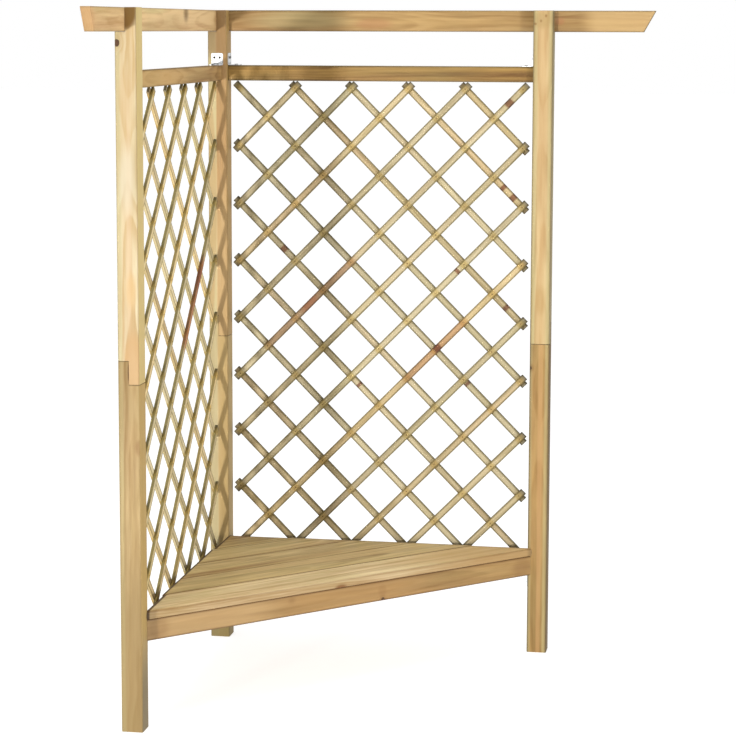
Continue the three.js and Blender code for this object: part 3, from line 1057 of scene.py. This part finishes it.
# A turned form's profile is a row of (share of the radius, share of the height).
NAIL_RADIUS = 2.2 * MM
NAIL_HEIGHT = 0.7 * MM
NAIL_PROFILE = ((1.0, 0.0), (0.92, 0.5), (0.6, 0.9))
NAIL_STEPS = 10
NAIL_TONE = (128, 104, 72)
NAIL_ROUGHNESS = 0.55
HEAD_RADIUS = 3.8 * MM
HEAD_HEIGHT = 1.5 * MM
HEAD_PROFILE = ((1.0, 0.0), (1.0, 0.3), (0.93, 0.7), (0.78, 1.0))
HEAD_STEPS = 16
SCREW_TONE = (72, 68, 60)
SCREW_ROUGHNESS = 0.6
RECESS_TONE = (54, 48, 40)
RECESS_ROUGHNESS = 0.7
RECESS_REACH = 2.5 * MM
RECESS_WIDTH = 0.55 * MM
RECESS_DEPTH = 1.1 * MM
RECESS_TAPER = 0.8

# Angle bracket: its sheet, and how far its screw holes lie from the fold and from each other
SHEET = 2 * MM
HOLE_FROM_FOLD = 23 * MM
HOLE_SPACING = 17 * MM


def metal(name, tone, rough):
    """Worn steel, whose roughness stays within 0.1 of the given one."""
    material, tree, shader = new_material(name)
    shader.inputs["Metallic"].default_value = 1.0
    coordinates = tree.nodes.new("ShaderNodeTexCoord")
    place = Wire(tree, coordinates.outputs["Object"])
    wear = noise(tree, stretch(tree, place, WEAR_FINENESS), *WEAR_NOISE)
    dull = [value * WEAR_DULLING for value in tone]
    plug(tree, paint(tree, wear.smooth(*WEAR_RAMP), linear(*tone), dull), shader.inputs["Base Color"])
    plug(tree, wear * WEAR_ROUGHNESS + (rough - WEAR_ROUGHNESS / 2), shader.inputs["Roughness"])
    return material


def turned_rings(shape, place, turn, profile, radius, height, steps):
    """Rings of a turned form that stands on a face, joined by bands of faces."""
    rings = []
    for spread, rise in profile:
        ring = []
        for step in range(steps):
            angle = 2 * math.pi * step / steps
            point = Vector((math.cos(angle), math.sin(angle), 0)) * radius * spread + Z * height * rise
            ring.append(shape.verts.new(place + turn @ point))
        rings.append(ring)
    bridge(shape, rings)
    return rings


def add_nails(side, lattice):
    """A low domed head at every crossing, on the slats that face the bench."""
    shape = bmesh.new()
    turn = (-lattice.outward).to_track_quat("Z", "Y").to_matrix()
    front = SLAT_THICKNESS - SLAT_PRESSED / 2
    for crossing in lattice.crossings():
        place = crossing - lattice.outward * front
        rings = turned_rings(shape, place, turn, NAIL_PROFILE, NAIL_RADIUS, NAIL_HEIGHT, NAIL_STEPS)
        shape.faces.new(rings[-1])
    mesh = to_mesh(shape, side + "_trellis_nails")
    steel = bpy.data.materials.get("nail_steel") or metal("nail_steel", NAIL_TONE, NAIL_ROUGHNESS)
    mesh.materials.append(steel)
    add_piece(side + "_trellis_nails", mesh)


def add_screw_head(shape, place, axis):
    """A pan head with a cross cut into its top."""
    turn = axis.to_track_quat("Z", "Y").to_matrix()
    rings = turned_rings(shape, place, turn, HEAD_PROFILE, HEAD_RADIUS, HEAD_HEIGHT, HEAD_STEPS)
    corner = [(RECESS_REACH, -RECESS_WIDTH), (RECESS_REACH, RECESS_WIDTH), (RECESS_WIDTH, RECESS_WIDTH)]
    outline = []
    for quarter in range(4):
        spin = Matrix.Rotation(quarter * math.pi / 2, 3, "Z")
        outline += [spin @ Vector((x, y, 0)) for x, y in corner]
    floor_height = Z * (HEAD_HEIGHT - RECESS_DEPTH)
    top = [shape.verts.new(place + turn @ (point + Z * HEAD_HEIGHT)) for point in outline]
    low = [shape.verts.new(place + turn @ (point * RECESS_TAPER + floor_height)) for point in outline]
    cross = [shape.edges.new(ends) for ends in zip(top, top[1:] + top[:1])]
    rim = [edge for edge in shape.edges if edge.verts[0] in rings[-1] and edge.verts[1] in rings[-1]]
    bmesh.ops.triangle_fill(shape, use_beauty=True, use_dissolve=False, edges=cross + rim)
    for face in bridge(shape, [top, low]) + [shape.faces.new(low)]:
        face.material_index = 1


def add_bracket_screws():
    """Screw places worked out from the box of each bracket and the leg that its name implies."""
    shape = bmesh.new()
    for name in sorted(nodes):
        if "bracket" not in name:
            continue
        low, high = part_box(name)
        along = -Y if name.startswith("left") else X
        across = X if name.startswith("left") else Y
        facing = along if name.endswith("corner") else -along
        rise = Z if "trellis" in name else -Z
        half = (high.z - low.z) / 2
        fold = (low + high) / 2 - facing * half - rise * half
        for side in (-0.5, 0.5):
            aside = across * HOLE_SPACING * side
            add_screw_head(shape, fold + facing * HOLE_FROM_FOLD + rise * SHEET + aside, rise)
            add_screw_head(shape, fold + rise * HOLE_FROM_FOLD + facing * SHEET + aside, facing)
    bmesh.ops.recalc_face_normals(shape, faces=shape.faces)
    mesh = to_mesh(shape, "bracket_screws")
    mesh.materials.append(metal("screw_steel", SCREW_TONE, SCREW_ROUGHNESS))
    mesh.materials.append(metal("recess_steel", RECESS_TONE, RECESS_ROUGHNESS))
    add_piece("bracket_screws", mesh)


# Bracket plates: zinc with a dark rim. Only the broad faces of a leg are larger than this area.
BROAD_FACE = 300 * MM * MM
PLATE_RIM = 1.6 * MM
PLATE_RIM_DARKNESS = 0.8
PLATE_RIM_TONE = (92, 88, 78)
ZINC_PALE = (214, 216, 218)
ZINC_DARK = (190, 193, 196)
ZINC_METALLIC = 0.5
ZINC_ROUGHNESS = 0.34
SPANGLE_FINENESS = (160, 160, 160)
BRUSHED_FINENESS = (900, 900, 60)
SPANGLE_RAMP = (0.3, 0.7)
SPANGLE_ROUGHNESS = 0.18
BRUSHED_ROUGHNESS = 0.12


def zinc():
    """Bright zinc with a faint spangle."""
    material, tree, shader = new_material("zinc_plate")
    shader.inputs["Metallic"].default_value = ZINC_METALLIC
    coordinates = tree.nodes.new("ShaderNodeTexCoord")
    place = Wire(tree, coordinates.outputs["Object"])
    spangle = noise(tree, stretch(tree, place, SPANGLE_FINENESS), *SPANGLE_NOISE)
    brushed = noise(tree, stretch(tree, place, BRUSHED_FINENESS), *BRUSHED_NOISE)
    colour = paint(tree, spangle.smooth(*SPANGLE_RAMP), linear(*ZINC_PALE), ZINC_DARK)
    plug(tree, paint(tree, attribute(tree, "rim"), colour, PLATE_RIM_TONE), shader.inputs["Base Color"])
    roughness = spangle * SPANGLE_ROUGHNESS + brushed * BRUSHED_ROUGHNESS + ZINC_ROUGHNESS
    plug(tree, roughness, shader.inputs["Roughness"])
    return material


def plate_bracket(node, material):
    """The bracket's own shape, with a dark rim along the outline of its legs and round their holes."""
    shape = own_shape(node)
    rim = shape.faces.layers.float.new("rim")
    broad = [face for face in shape.faces if face.calc_area() > BROAD_FACE]
    inset = bmesh.ops.inset_region(shape, faces=broad, thickness=PLATE_RIM, use_even_offset=True)
    for face in inset["faces"]:
        face[rim] = PLATE_RIM_DARKNESS
    mesh = to_mesh(shape, node + "_plate")
    smooth_bends(mesh)
    mesh.materials.append(material)
    add_piece(node + "_plate", mesh, node)


def add_plates():
    material = zinc()
    for node in sorted(nodes):
        if "bracket" in node:
            plate_bracket(node, material)


add_camera()
add_studio()
add_timbers()
trellis_panel("left_trellis_panel", "left")
trellis_panel("right_trellis_panel", "right")
add_bracket_screws()
add_plates()
